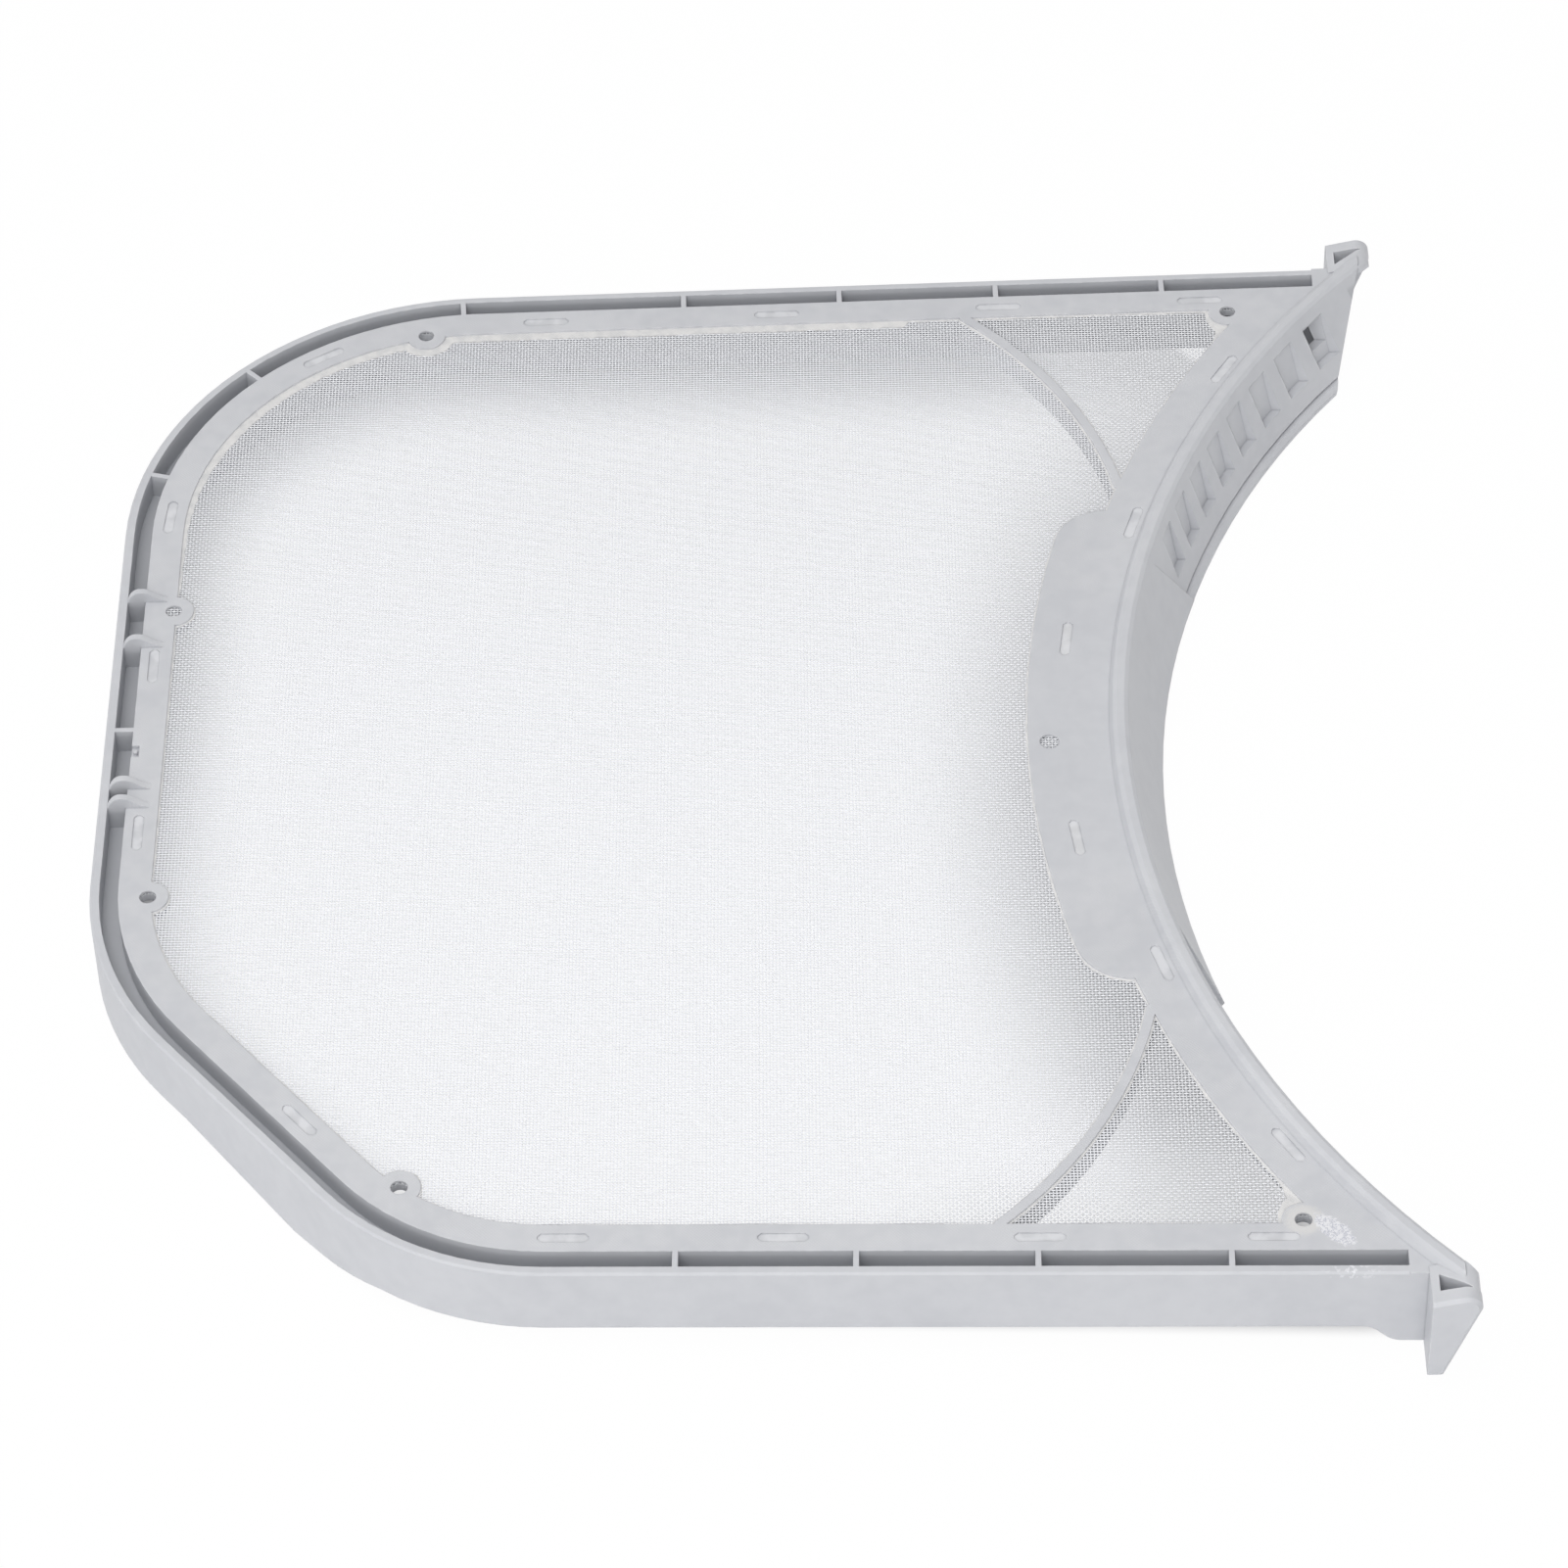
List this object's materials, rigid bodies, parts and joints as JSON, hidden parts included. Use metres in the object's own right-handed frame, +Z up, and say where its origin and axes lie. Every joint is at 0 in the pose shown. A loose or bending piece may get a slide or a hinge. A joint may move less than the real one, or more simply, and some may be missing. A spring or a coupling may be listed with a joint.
{
  "type": "tumble dryer lint filter",
  "caption": "Tumble dryer lint filter: a pale grey moulded frame with channelled rails and a curved, pocketed header round a fine white woven screen.",
  "frame": {"origin": "middle of the bounding box in plan, on its lowest level, the underside of the header's lip", "axes": "+X towards the curved header, +Y towards the rail that ends in the round corner, +Z up out of the screen's upper face"},
  "size_m": [0.3354, 0.3774, 0.0302],
  "materials": {
    "frame_plastic": "satin, pale grey",
    "screen_weave": "white monofilament weave"
  },
  "bodies": {
    "root": {"frame": "frame_plastic", "mesh_screen": "screen_weave"}
  },
  "joints": []
}
